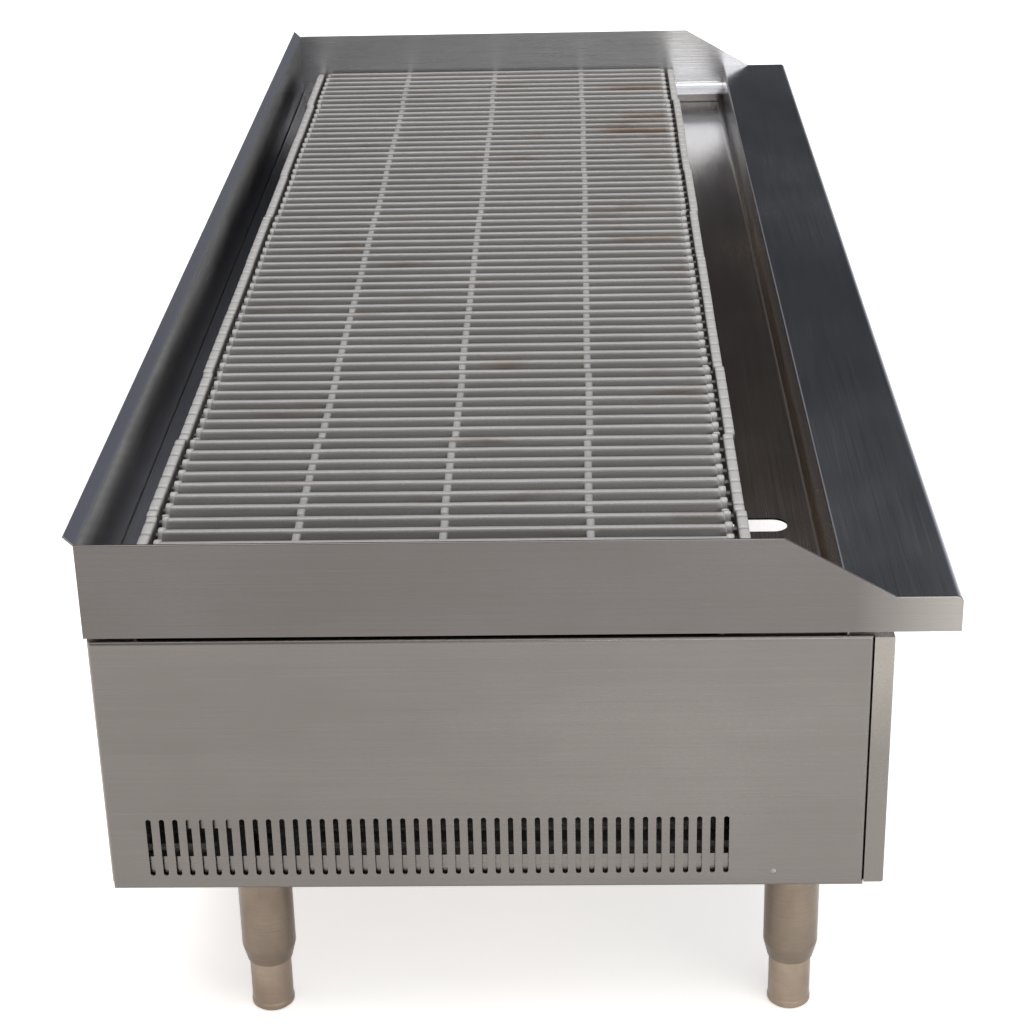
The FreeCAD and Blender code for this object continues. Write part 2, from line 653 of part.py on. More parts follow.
def firebox_walls():
    """Four walls round the burners; the front one has a round hole for each burner inlet."""
    body = new_body("firebox_front_wall")
    sketch = new_sketch(body, "XZ_Plane", "firebox_front")
    rectangle(sketch, "-firebox_half", "firebox_low", "firebox_half", "firebox_high")
    pad(body, sketch, "sheet", reverse=True)
    sketch = new_sketch(body, "XZ_Plane", "firebox_front")
    circle(sketch, "-zone * (zone_count - 1) / 2", "gas_high", "venturi_hole")
    hole = pocket(body, sketch, "through", middle=True)
    pattern(body, hole, sketch, "H_Axis", "zone_count", "zone")
    half = "firebox_half"
    levels = ("firebox_low", "firebox_high")
    box("firebox_back_wall", f"-{half}", half, "firebox_back - sheet", "firebox_back", *levels)
    ends = ("firebox_front", "firebox_back", *levels)
    box("firebox_left_wall", f"-{half} - sheet", f"-{half}", *ends)
    box("firebox_right_wall", half, f"{half} + sheet", *ends)


def grate_rails():
    """Two angle bars, welded inside the firebox, on which the grates rest."""
    top = "rod_top - rod_depth - slide_gap"
    front = "firebox_front + sheet"
    back = "firebox_back - sheet"
    faces = (("front_grate_rail", front, "1"), ("rear_grate_rail", back, "-1"))
    for label, wall, way in faces:
        body = new_body(label)
        sketch = new_sketch(body, "YZ_Plane")
        outline(
            sketch,
            [
                (wall, f"{top} - rail_leg"),
                (wall, top),
                (f"{wall} + {way} * rail_leg", top),
                (f"{wall} + {way} * rail_leg", f"{top} - rail_thick"),
                (f"{wall} + {way} * rail_thick", f"{top} - rail_thick"),
                (f"{wall} + {way} * rail_thick", f"{top} - rail_leg"),
            ],
        )
        pad(body, sketch, "2 * firebox_half", middle=True)


# How far each loose grate has slid towards the back on its rails, in mm.
GRATE_PLAY = (-0.2, 0.9, -0.9, 0.2, 0, 0.4, -0.7, 0.1, -0.3, 1.3)


def grate(number):
    """One cast grate: seven tapered rods, five cross bars and an end bar at each end."""
    middle = f"({number} - (grate_count + 1) / 2) * grate_module"
    body = new_body(f"grate_{number}", x=middle, y=str(GRATE_PLAY[number - 1]))
    low = "rod_top - rod_depth"
    first = "-rod_pitch * (rod_count - 1) / 2"
    sketch = new_sketch(body, "XZ_Plane", "grate_front")
    outline(
        sketch,
        [
            (f"{first} - rod_narrow / 2", low),
            (f"{first} + rod_narrow / 2", low),
            (f"{first} + rod_wide / 2", "rod_top"),
            (f"{first} - rod_wide / 2", "rod_top"),
        ],
    )
    rod = pad(body, sketch, "grate_length", reverse=True)
    pattern(body, rod, sketch, "H_Axis", "rod_count", "rod_pitch")
    back = "grate_front + grate_length"
    for end, way in (("grate_front", "1"), (back, "-1")):
        sketch = new_sketch(body, "YZ_Plane")
        outline(
            sketch,
            [
                (f"{end} - {way} * beyond", "rod_top - rod_step_drop"),
                (f"{end} + {way} * rod_step_end", "rod_top - rod_step_drop"),
                (f"{end} + {way} * rod_step_start", "rod_top"),
                (f"{end} + {way} * rod_step_start", "rod_top + beyond"),
                (f"{end} - {way} * beyond", "rod_top + beyond"),
            ],
        )
        pocket(body, sketch, "grate_width", middle=True)
    left = "-grate_width / 2"
    at = "grate_front + grate_length / 2 - bar_pitch * (bar_count - 1) / 2"
    sketch = new_sketch(body, "YZ_Plane", left)
    rectangle(sketch, f"{at} - bar_wide / 2", low, f"{at} + bar_wide / 2", "rod_top - bar_drop")
    bar = pad(body, sketch, "grate_width")
    pattern(body, bar, sketch, "H_Axis", "bar_count", "bar_pitch")
    sketch = new_sketch(body, "YZ_Plane", left)
    for at in ("grate_front + bar_inset", f"{back} - bar_inset"):
        rectangle(sketch, f"{at} - bar_wide / 2", low, f"{at} + bar_wide / 2", "rod_top - bar_drop")
    pad(body, sketch, "grate_width")
    sketch = new_sketch(body, "YZ_Plane", left)
    rectangle(sketch, "grate_front", low, "grate_front + end_bar_wide", "rod_top - end_bar_drop")
    rectangle(sketch, f"{back} - end_bar_wide", low, back, "rod_top - end_bar_drop")
    pad(body, sketch, "grate_width")


def radiant(number):
    """Folded steel plate over one burner, with a ridge above each burner leg."""
    body = new_body(f"radiant_{number}", x=f"({number} - (zone_count + 1) / 2) * zone")
    upper = [
        ("-radiant_half", "radiant_low"),
        ("radiant_flat - radiant_half", "radiant_low"),
        ("-burner_leg_at", "radiant_high"),
        ("0", "radiant_low"),
        ("burner_leg_at", "radiant_high"),
        ("radiant_half - radiant_flat", "radiant_low"),
        ("radiant_half", "radiant_low"),
    ]
    lower = [(across, f"{up} - radiant_thick") for across, up in reversed(upper)]
    sketch = new_sketch(body, "XZ_Plane", "firebox_front + sheet + fit_gap")
    outline(sketch, upper + lower)
    pad(body, sketch, "firebox_back - firebox_front - 2 * (sheet + fit_gap)", reverse=True)


# ---- burners and gas ----


def burner(number):
    """Tube bent to a loop under the radiant, with a straight inlet that meets the valve."""
    body = new_body(f"burner_{number}", x=f"({number} - (zone_count + 1) / 2) * zone")
    path = new_sketch(body, "XY_Plane", "gas_high")
    leg, turn = size("burner_leg_at"), size("burner_turn")
    front, back = size("burner_front"), size("burner_back")
    up = FreeCAD.Vector(0, 0, 1)

    def spot(across, away):
        return FreeCAD.Vector(across, away, 0)

    left_turn = Part.Circle(spot(turn - leg, front + turn), up, turn)
    right_turn = Part.Circle(spot(leg - turn, front + turn), up, turn)
    route = [
        Part.LineSegment(spot(-leg, back), spot(-leg, front + turn)),
        Part.ArcOfCircle(left_turn, math.pi, 1.5 * math.pi),
        Part.LineSegment(spot(turn - leg, front), spot(leg - turn, front)),
        Part.ArcOfCircle(right_turn, 1.5 * math.pi, 2 * math.pi),
        Part.LineSegment(spot(leg, front + turn), spot(leg, back)),
    ]
    for piece in route:
        path.addGeometry(piece, False)
    for index in range(4):
        path.addConstraint(Sketcher.Constraint("Coincident", index, 2, index + 1, 1))
    ends = [
        (0, 1, "-burner_leg_at", "burner_back"),
        (0, 2, "-burner_leg_at", "burner_front + burner_turn"),
        (1, 3, "burner_turn - burner_leg_at", "burner_front + burner_turn"),
        (3, 3, "burner_leg_at - burner_turn", "burner_front + burner_turn"),
        (4, 1, "burner_leg_at", "burner_front + burner_turn"),
        (4, 2, "burner_leg_at", "burner_back"),
    ]
    for index, point, across, away in ends:
        hold(path, "DistanceX", index, point, across)
        hold(path, "DistanceY", index, point, away)
    path.addConstraint(Sketcher.Constraint("Horizontal", 2))
    path.addConstraint(Sketcher.Constraint("Tangent", 1, 2))
    ring = new_sketch(body, "XZ_Plane", "burner_back")
    circle(ring, "-burner_leg_at", "gas_high", "burner_radius")
    circle(ring, "-burner_leg_at", "gas_high", "burner_radius - tube_wall")
    doc.recompute()
    loop = body.newObject("PartDesign::AdditivePipe", body.Name + "_loop")
    loop.Profile = ring
    loop.Spine = (path, [f"Edge{index}" for index in range(1, 6)])
    doc.recompute()
    sketch = new_sketch(body, "XZ_Plane", "burner_back")
    for side in ("-1", "1"):
        circle(sketch, f"{side} * burner_leg_at", "gas_high", "burner_radius")
    pad(body, sketch, "tube_wall")
    sketch = new_sketch(body, "XZ_Plane", "venturi_front")
    circle(sketch, "0", "gas_high", "burner_radius")
    circle(sketch, "0", "gas_high", "burner_radius - tube_wall")
    pad(body, sketch, "burner_front - burner_radius + tube_wall / 2 - venturi_front", reverse=True)


def gas_manifold():
    """Supply pipe behind the control panel, bent back along the right side to the inlet."""
    body = new_body("gas_manifold")
    path = new_sketch(body, "XY_Plane", "manifold_high")
    left, right = size("manifold_left"), size("inlet_at")
    front, back, turn = size("manifold_at"), size("inlet_end"), size("manifold_turn")
    corner = Part.Circle(FreeCAD.Vector(right - turn, front + turn, 0), FreeCAD.Vector(0, 0, 1), turn)
    run = Part.LineSegment(FreeCAD.Vector(left, front, 0), FreeCAD.Vector(right - turn, front, 0))
    rise = Part.LineSegment(FreeCAD.Vector(right, front + turn, 0), FreeCAD.Vector(right, back, 0))
    for piece in (run, Part.ArcOfCircle(corner, -math.pi / 2, 0), rise):
        path.addGeometry(piece, False)
    for index in range(2):
        path.addConstraint(Sketcher.Constraint("Coincident", index, 2, index + 1, 1))
    ends = [
        (0, 1, "manifold_left", "manifold_at"),
        (0, 2, "inlet_at - manifold_turn", "manifold_at"),
        (1, 3, "inlet_at - manifold_turn", "manifold_at + manifold_turn"),
        (2, 2, "inlet_at", "inlet_end"),
    ]
    for index, point, across, away in ends:
        hold(path, "DistanceX", index, point, across)
        hold(path, "DistanceY", index, point, away)
    path.addConstraint(Sketcher.Constraint("Vertical", 2))
    path.addConstraint(Sketcher.Constraint("Tangent", 1, 2))
    ring = new_sketch(body, "YZ_Plane", "manifold_left")
    circle(ring, "manifold_at", "manifold_high", "pipe_radius")
    circle(ring, "manifold_at", "manifold_high", "pipe_bore")
    doc.recompute()
    pipe = body.newObject("PartDesign::AdditivePipe", body.Name + "_pipe")
    pipe.Profile = ring
    pipe.Spine = (path, ["Edge1", "Edge2", "Edge3"])
    doc.recompute()
    sketch = new_sketch(body, "YZ_Plane", "manifold_left")
    circle(sketch, "manifold_at", "manifold_high", "pipe_radius + cap_wall")
    pad(body, sketch, "pipe_bore")
    sketch = new_sketch(body, "XY_Plane", "manifold_high + pipe_bore + boss_start")
    circle(sketch, "-zone * (zone_count - 1) / 2", "manifold_at", "boss_radius")
    boss = pad(body, sketch, "boss_top - manifold_high - pipe_bore - boss_start")
    pattern(body, boss, sketch, "H_Axis", "zone_count", "zone")
    sketch = new_sketch(body, "XZ_Plane", "inlet_end - thread_length")
    circle(sketch, "inlet_at", "manifold_high", "pipe_radius + beyond")
    circle(sketch, "inlet_at", "manifold_high", "thread_radius")
    pocket(body, sketch, "thread_length + beyond")


def gas_valve(number):
    """Turned brass valve with its stem forward and its outlet in the burner inlet."""
    body = new_body(f"gas_valve_{number}", x=f"({number} - (zone_count + 1) / 2) * zone")
    sketch = new_sketch(body, "YZ_Plane", rise="gas_high")
    outline(
        sketch,
        [
            ("stem_front", "0"),
            ("stem_front", "stem_radius"),
            ("valve_front", "stem_radius"),
            ("valve_front", "valve_radius"),
            ("valve_back", "valve_radius"),
            ("valve_back", "outlet_radius"),
            ("valve_outlet", "outlet_radius"),
            ("valve_outlet", "0"),
        ],
    )
    turned(body, sketch, "H_Axis")
    sketch = new_sketch(body, "XY_Plane", "boss_top")
    circle(sketch, "0", "manifold_at", "valve_foot")
    pad(body, sketch, "gas_high - boss_top")


def knob(number):
    """Control knob: round skirt, tapered grip flattened to a finger bar, bore for the stem."""
    body = new_body(f"knob_{number}", x=f"({number} - (zone_count + 1) / 2) * zone")
    sketch = new_sketch(body, "YZ_Plane", rise="gas_high")
    outline(
        sketch,
        [
            ("knob_front", "0"),
            ("knob_front", "knob_tip - knob_edge"),
            ("knob_front + knob_edge", "knob_tip"),
            ("knob_back - knob_skirt_thick - knob_edge", "knob_root"),
            ("knob_back - knob_skirt_thick", "knob_skirt"),
            ("knob_back", "knob_skirt"),
            ("knob_back", "knob_bore"),
            ("knob_bore_end", "knob_bore"),
            ("knob_bore_end", "0"),
        ],
    )
    turned(body, sketch, "H_Axis")
    sketch = new_sketch(body, "XZ_Plane", "knob_front", rise="gas_high")
    for side in ("-1", "1"):
        near, far = f"{side} * grip_half", f"{side} * knob_skirt"
        rectangle(sketch, near, "-knob_skirt", far, "knob_skirt")
    pocket(body, sketch, "knob_back - knob_skirt_thick - 2 * knob_edge - knob_front")


def pilot_line():
    """Thin gas line to the standing pilots."""
    body = new_body("pilot_line")
    sketch = new_sketch(body, "YZ_Plane")
    circle(sketch, "pilot_at", "pilot_high", "pilot_radius")
    circle(sketch, "pilot_at", "pilot_high", "pilot_bore")
    pad(body, sketch, "2 * pilot_half", middle=True)


# ---- drip trays ----


def drip_tray(label, side, with_well):
    """Pan under the burners, pulled out by its front; one has a well below the drain slot."""
    body = new_body(label, x=f"{side} * tray_centre")
    back_of_plate = "face_at - slide_gap"

    def pan(inset):
        """Plan of the pan, moved in by the sheet thickness for its inside."""
        left, right = f"{inset} - tray_half", f"tray_half - {inset}"
        front, back = f"tray_front + {inset}", f"tray_back - {inset}"
        well = [
            (f"well_left + {inset}", front),
            (f"well_left + {inset}", f"{back_of_plate} + {inset}"),
            (f"well_right - {inset}", f"{back_of_plate} + {inset}"),
            (f"well_right - {inset}", front),
        ]
        return [(left, back), (left, front)] + (well if with_well else []) + [(right, front), (right, back)]

    sketch = new_sketch(body, "XY_Plane", "tray_low")
    outline(sketch, pan("0"))
    pad(body, sketch, "tray_high - tray_low")
    sketch = new_sketch(body, "XY_Plane", "tray_high")
    outline(sketch, pan("tray_sheet"))
    pocket(body, sketch, "tray_high - tray_low - tray_sheet")
    sketch = new_sketch(body, "XZ_Plane", back_of_plate)
    rectangle(sketch, "-plate_half", "plate_low", "plate_half", "plate_high")
    pad(body, sketch, "heavy")
    for way in ("-1", "1"):
        sketch = new_sketch(body, "XY_Plane", "tray_low")
        outer, inner = f"{way} * arm_out", f"{way} * (arm_out - arm_wide)"
        rectangle(sketch, outer, back_of_plate, inner, "tray_front + tray_sheet / 2")
        pad(body, sketch, "arm_high - tray_low")
    face = f"{back_of_plate} - heavy"
    sketch = new_sketch(body, "YZ_Plane")
    outline(
        sketch,
        [
            (f"{face} + heavy / 2", "pull_high"),
            (f"{face} - pull_reach", "pull_high"),
            (f"{face} - pull_reach", "pull_high - pull_drop"),
            (f"{face} - pull_reach + heavy", "pull_high - pull_drop"),
            (f"{face} - pull_reach + heavy", "pull_high - heavy"),
            (f"{face} + heavy / 2", "pull_high - heavy"),
        ],
    )
    pad(body, sketch, "2 * pull_half", middle=True)


def tray_slides():
    """Angle bars under the outer edges of the trays and a flat bar under the inner edges."""
    top = "tray_low - slide_gap"
    ends = ("slide_front", "slide_back")
    pieces = []
    for name, side in (("left", "-1"), ("right", "1")):
        outer, inner = f"{side} * slide_out", f"{side} * (slide_out - slide_wide)"
        web_inner = f"{side} * (slide_out - heavy)"
        low_x, high_x = (outer, inner) if side == "-1" else (inner, outer)
        web_low, web_high = (outer, web_inner) if side == "-1" else (web_inner, outer)
        pieces.append(box(f"{name}_slide_top", low_x, high_x, *ends, f"{top} - heavy", top))
        pieces.append(box(f"{name}_slide_web", web_low, web_high, *ends, "slide_low", top))
    middle = ("-middle_slide_half", "middle_slide_half")
    pieces.append(box("middle_slide", *middle, *ends, f"{top} - rail_thick", top))
    group = doc.addObject("Part::MultiFuse", "tray_slides")
    group.Label = "tray_slides"
    group.Shapes = pieces


# ---- legs, feet and fasteners ----

CORNERS = [
    ("front_left", "-1", "leg_front"),
    ("front_right", "1", "leg_front"),
    ("rear_left", "-1", "leg_back"),
    ("rear_right", "1", "leg_back"),
]


def leg(corner, side, away):
    """Turned leg: tube with a narrowed mouth, a threaded plug inside and a stud on top."""
    body = new_body(f"{corner}_leg", x=f"{side} * leg_at", y=away)
    sketch = new_sketch(body, "XZ_Plane")
    outline(
        sketch,
        [
            ("leg_bore", "leg_low"),
            ("leg_mouth", "leg_low"),
            ("leg_radius", "leg_shoulder"),
            ("leg_radius", "body_bottom - fit_gap"),
            ("stud_radius", "body_bottom - fit_gap"),
            ("stud_radius", "stud_top"),
            ("0", "stud_top"),
            ("0", "plug_bore_end"),
            ("plug_bore", "plug_bore_end"),
            ("plug_bore", "leg_plug"),
            ("leg_bore", "leg_plug"),
        ],
    )
    turned(body, sketch, "V_Axis")
    round_edges(body, "leg_round", lambda edge: in_plane(edge, "z", "leg_shoulder") and level(edge))


def foot(corner, side, away):
    """Adjustable foot: smooth bullet with a rim at the floor and a threaded stem."""
    body = new_body(f"{corner}_foot", x=f"{side} * leg_at", y=away)
    sketch = new_sketch(body, "XZ_Plane")
    outline(
        sketch,
        [
            ("0", "0"),
            ("foot_rim - foot_edge", "0"),
            ("foot_rim", "foot_edge"),
            ("foot_rim", "foot_rim_high"),
            ("foot_radius", "foot_rim_high + foot_edge"),
            ("foot_radius", "foot_top"),
            ("foot_stem", "foot_top"),
            ("foot_stem", "foot_stem_top"),
            ("0", "foot_stem_top"),
        ],
    )
    turned(body, sketch, "V_Axis")


def upright_cylinder(name, x, y, low, high, radius):
    item = doc.addObject("Part::Cylinder", name)
    bind(item, Radius=radius, Height=f"{high} - ({low})")
    bind(item, Placement__Base__x=x, Placement__Base__z=low)
    bind(item, Placement__Base__y=f"{y} - half_depth")
    return item


def leg_plates():
    """Stiffening plates on the bottom flanges, one over each leg."""
    plates = []
    low, high = "body_bottom + sheet", "body_bottom + sheet + leg_plate_thick"
    for corner, side, away in CORNERS:
        near, far = f"{side} * leg_plate_out", f"{side} * (leg_plate_out - plate_side)"
        left, right = (near, far) if side == "-1" else (far, near)
        front, back = f"{away} - plate_side / 2", f"{away} + plate_side / 2"
        plate = box(f"{corner}_plate", left, right, front, back, low, high)
        stud = (f"{side} * leg_at", away, low, high, "stud_radius + fit_gap")
        bore = upright_cylinder(f"{corner}_bore", *stud)
        cut = doc.addObject("Part::Cut", f"{corner}_plate_cut")
        cut.Base = plate
        cut.Tool = bore
        plates.append(cut)
    group = doc.addObject("Part::MultiFuse", "leg_plates")
    group.Label = "leg_plates"
    group.Shapes = plates


def fasteners():
    """Nuts on the leg studs, the screw in each side panel and the back panel screws."""
    pieces = []
    nut_low = "body_bottom + sheet + leg_plate_thick"
    for corner, side, away in CORNERS:
        nut = doc.addObject("Part::Prism", f"{corner}_nut")
        nut.Polygon = 6
        bind(nut, Circumradius="nut_radius", Height="nut_high")
        bind(nut, Placement__Base__x=f"{side} * leg_at", Placement__Base__y=f"{away} - half_depth")
        bind(nut, Placement__Base__z=nut_low)
        stud = (f"{side} * leg_at", away, nut_low, f"{nut_low} + nut_high", "stud_radius + fit_gap")
        thread = upright_cylinder(f"{corner}_thread", *stud)
        cut = doc.addObject("Part::Cut", f"{corner}_nut_cut")
        cut.Base = nut
        cut.Tool = thread
        pieces.append(cut)
    for name, side in (("left", "-1"), ("right", "1")):
        screw = doc.addObject("Part::Cylinder", f"{name}_panel_screw")
        screw.Placement.Rotation = FreeCAD.Rotation(FreeCAD.Vector(0, 1, 0), -90 * int(side))
        bind(screw, Radius="panel_screw_radius - fit_gap / 4", Height="panel_screw_long")
        bind(screw, Placement__Base__x=f"{side} * (length / 2 - fit_gap)")
        bind(screw, Placement__Base__y="panel_screw_at - half_depth", Placement__Base__z="panel_screw_high")
        pieces.append(screw)
    for number in range(-2, 3):
        for level, height in (("low", "face_low + rim / 2"), ("high", "face_high - rim / 2")):
            head = doc.addObject("Part::Cylinder", f"back_screw_{level}_{number + 2}")
            head.Placement.Rotation = FreeCAD.Rotation(FreeCAD.Vector(1, 0, 0), -90)
            bind(head, Radius="head_radius", Height="head_high")
            bind(head, Placement__Base__x=f"{number} * (length / 2 - rim) / 2", Placement__Base__z=height)
            bind(head, Placement__Base__y="panel_back + back_gap + sheet - half_depth")
            pieces.append(head)
    group = doc.addObject("Part::MultiFuse", "fasteners")
    group.Label = "fasteners"
    group.Shapes = pieces


side_panel()
control_panel()
back_panel()
side_splash()
back_splash()
front_shelf()
firebox_walls()
grate_rails()
for number in range(1, int(size("grate_count")) + 1):
    grate(number)
for number in range(1, int(size("zone_count")) + 1):
    radiant(number)
    burner(number)
    gas_valve(number)
    knob(number)
gas_manifold()
pilot_line()
drip_tray("left_drip_tray", "-1", True)
drip_tray("right_drip_tray", "1", False)
tray_slides()
for corner in CORNERS:
    leg(*corner)
    foot(*corner)
leg_plates()
fasteners()
doc.recompute()

# Every top-level solid is a sub-part; the ones that a boolean or a mirror uses are not.
KINDS = ("PartDesign::Body", "Part::Mirroring", "Part::Box", "Part::MultiFuse")
sub_parts = []
for item in doc.Objects:
    used_in_boolean = any(user.TypeId in ("Part::MultiFuse", "Part::Cut") for user in item.InList)
    if item.TypeId in KINDS and not used_in_boolean:
        sub_parts.append(item)

for item in doc.Objects:
    assert "Invalid" not in item.State and "Error" not in item.State, f"{item.Name}: {item.State}"
os.makedirs("parts", exist_ok=True)
for item in sub_parts:
    assert not item.Shape.isNull() and item.Shape.isValid(), f"{item.Label} has no valid shape"
for item in sub_parts:
    item.Shape.exportStep(f"parts/{item.Label}.step")
    span = item.Shape.BoundBox
    extent = f"{span.XLength:.1f} x {span.YLength:.1f} x {span.ZLength:.1f}"
    print(f"{item.Label}: {len(item.Shape.Solids)} solid, {extent}")
print(len(sub_parts), "sub-parts")
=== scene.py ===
import math

import bpy
import numpy as np
from mathutils import Matrix, Vector


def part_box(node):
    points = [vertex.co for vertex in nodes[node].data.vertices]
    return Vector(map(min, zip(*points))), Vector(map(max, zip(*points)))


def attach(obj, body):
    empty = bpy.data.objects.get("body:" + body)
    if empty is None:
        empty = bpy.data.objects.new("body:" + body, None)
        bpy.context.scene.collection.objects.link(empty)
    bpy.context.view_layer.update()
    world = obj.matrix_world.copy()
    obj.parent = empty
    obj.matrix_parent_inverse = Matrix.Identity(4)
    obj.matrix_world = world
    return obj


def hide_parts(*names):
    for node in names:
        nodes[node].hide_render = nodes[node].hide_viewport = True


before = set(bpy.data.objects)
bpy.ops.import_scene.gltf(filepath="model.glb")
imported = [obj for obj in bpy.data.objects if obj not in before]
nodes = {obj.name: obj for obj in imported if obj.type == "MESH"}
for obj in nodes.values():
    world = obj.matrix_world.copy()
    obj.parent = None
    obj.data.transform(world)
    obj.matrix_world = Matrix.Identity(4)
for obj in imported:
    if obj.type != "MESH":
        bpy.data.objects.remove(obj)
scene = bpy.context.scene
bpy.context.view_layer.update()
mm = 0.001
print("frame loaded:", len(nodes), "nodes")


def hexColour(code):
    # sRGB hex to linear RGBA: c/12.92 below 0.04045, ((c+0.055)/1.055)^2.4 above it
    values = np.array([int(code[i:i + 2], 16) for i in (1, 3, 5)]) / 255
    linear = np.where(values <= 0.04045, values / 12.92, ((values + 0.055) / 1.055) ** 2.4)
    return (*linear.tolist(), 1.0)


def addNode(tree, kind, settings=None, links=None):
    # one node: each setting goes to the socket or the attribute of that name, each link to a socket
    node = tree.nodes.new("ShaderNode" + kind)
    for name, value in (settings or {}).items():
        if isinstance(name, int) or name in node.inputs:
            node.inputs[name].default_value = value
        else:
            setattr(node, name, value)
    for name, source in (links or {}).items():
        tree.links.new(source, node.inputs[name])
    return node


def newMaterial(name):
    material = bpy.data.materials.new(name)
    material.use_nodes = True
    material.node_tree.nodes.clear()
    return material, material.node_tree


def finishMaterial(tree, shader):
    addNode(tree, "OutputMaterial", None, {"Surface": shader.outputs[0]})


def stretchedNoise(tree, place, sizes, detail, seed):
    # noise whose features measure the given millimetres along X, Y and Z
    scale = [1 / (s * mm) for s in sizes]
    mapped = addNode(tree, "Mapping", {"Location": (seed, seed * 0.7, seed * 1.3), "Scale": scale},
                     {"Vector": place})
    return addNode(tree, "TexNoise", {"Scale": 1.0, "Detail": detail, "Roughness": 0.55},
                   {"Vector": mapped.outputs[0]}).outputs[0]


def blendColour(tree, factor, first, second):
    # colours are hex codes or sockets
    settings = {"data_type": "RGBA"}
    links = {0: factor}
    for index, value in ((6, first), (7, second)):
        if isinstance(value, str):
            settings[index] = hexColour(value)
        else:
            links[index] = value
    return addNode(tree, "Mix", settings, links).outputs[2]


def remap(tree, value, low, high, toLow, toHigh):
    limits = {"From Min": low, "From Max": high, "To Min": toLow, "To Max": toHigh}
    return addNode(tree, "MapRange", limits, {"Value": value}).outputs[0]


def combine(tree, operation, first, second):
    links = {0: first}
    settings = {"operation": operation}
    if isinstance(second, (int, float)):
        settings[1] = second
    else:
        links[1] = second
    return addNode(tree, "Math", settings, links).outputs[0]


# camera, floor and light
cameraPlace = {
    "location": (-2.233, -0.05725, 1.127),
    "yaw": 1.89,          # degrees, turned towards the back panel
    "pitch": 24.83,       # degrees below the horizon
    "roll": 1.39,
    "lens": 81.95,        # millimetres
    "sensor": 36,
    "clipEnd": 100,
}
studio = {
    "floor": "#f4f3f1", "floorPatch": "#eeedeb", "patchSize": (900, 900, 900), "patchSeed": 3.0,
    "floorHalf": 14.0, "floorRough": 0.85,
    "floorGlow": 0.24,    # the floor gives light of its own, so that shadows stay soft
    "floorSeen": 0.55,    # the same glow for camera rays
    "sunPower": 1.45, "sunAngle": 60.0,
    "topPower": 26.0, "topSize": (3.0, 2.0), "topAt": (0.5, 0.15, 2.7), "topAim": (0.2, 0, 0),
    "warmPower": 16.0, "warmSize": (1.6, 1.0), "warmAt": (-0.9, 3.0, 0.8), "warmAim": (-0.5, 0, 0.2),
    "warmColour": "#ffd9b4",
    "windowPower": 36.0, "windowSize": (1.8, 1.5), "windowAt": (-5.2, -0.95, 2.3),
    "windowAim": (-0.7, -0.95, 0.3),
    "cardPower": 4.5, "cardSize": (0.9, 0.5), "cardAt": (-1.5, -0.85, 0.75), "cardAim": (-1.5, -0.85, 0),
    "camera": 1.0,        # brightness of the background above the floor
    "front": 0.048,       # sky light from +X
    "behind": 0.32,       # sky light from -X
    "horizon": 0.2,       # low band of light all round
    "zenith": 0.40,       # light from straight above
    "rightSide": 0.6, "leftSide": 0.3,   # low light from -Y and +Y
    "warmSky": "#fff8f0", "coolSky": "#eef1ff",
}


def makeCamera(place):
    yaw, pitch, roll = (math.radians(place[k]) for k in ("yaw", "pitch", "roll"))
    forward = Vector((math.cos(pitch) * math.cos(yaw), math.cos(pitch) * math.sin(yaw), -math.sin(pitch)))
    right = Vector((math.sin(yaw), -math.cos(yaw), 0))
    down = forward.cross(right)
    across = right * math.cos(roll) + down * math.sin(roll)
    low = down * math.cos(roll) - right * math.sin(roll)
    data = bpy.data.cameras.new("camera")
    data.lens = place["lens"]
    data.sensor_width = place["sensor"]
    data.clip_end = place["clipEnd"]
    camera = bpy.data.objects.new("camera", data)
    turn = Matrix((across, -low, -forward)).transposed().to_4x4()
    camera.matrix_world = Matrix.Translation(place["location"]) @ turn
    scene.collection.objects.link(camera)
    scene.camera = camera


def makeLight(name, power, size, at, aim, colour="#ffffff"):
    data = bpy.data.lights.new(name, "AREA")
    data.shape = "RECTANGLE"
    data.size, data.size_y = size
    data.energy = power
    data.color = hexColour(colour)[:3]
    light = bpy.data.objects.new(name, data)
    light.location = at
    light.rotation_mode = "QUATERNION"
    light.rotation_quaternion = (Vector(aim) - Vector(at)).to_track_quat("-Z", "Y")
    light.visible_camera = False
    scene.collection.objects.link(light)


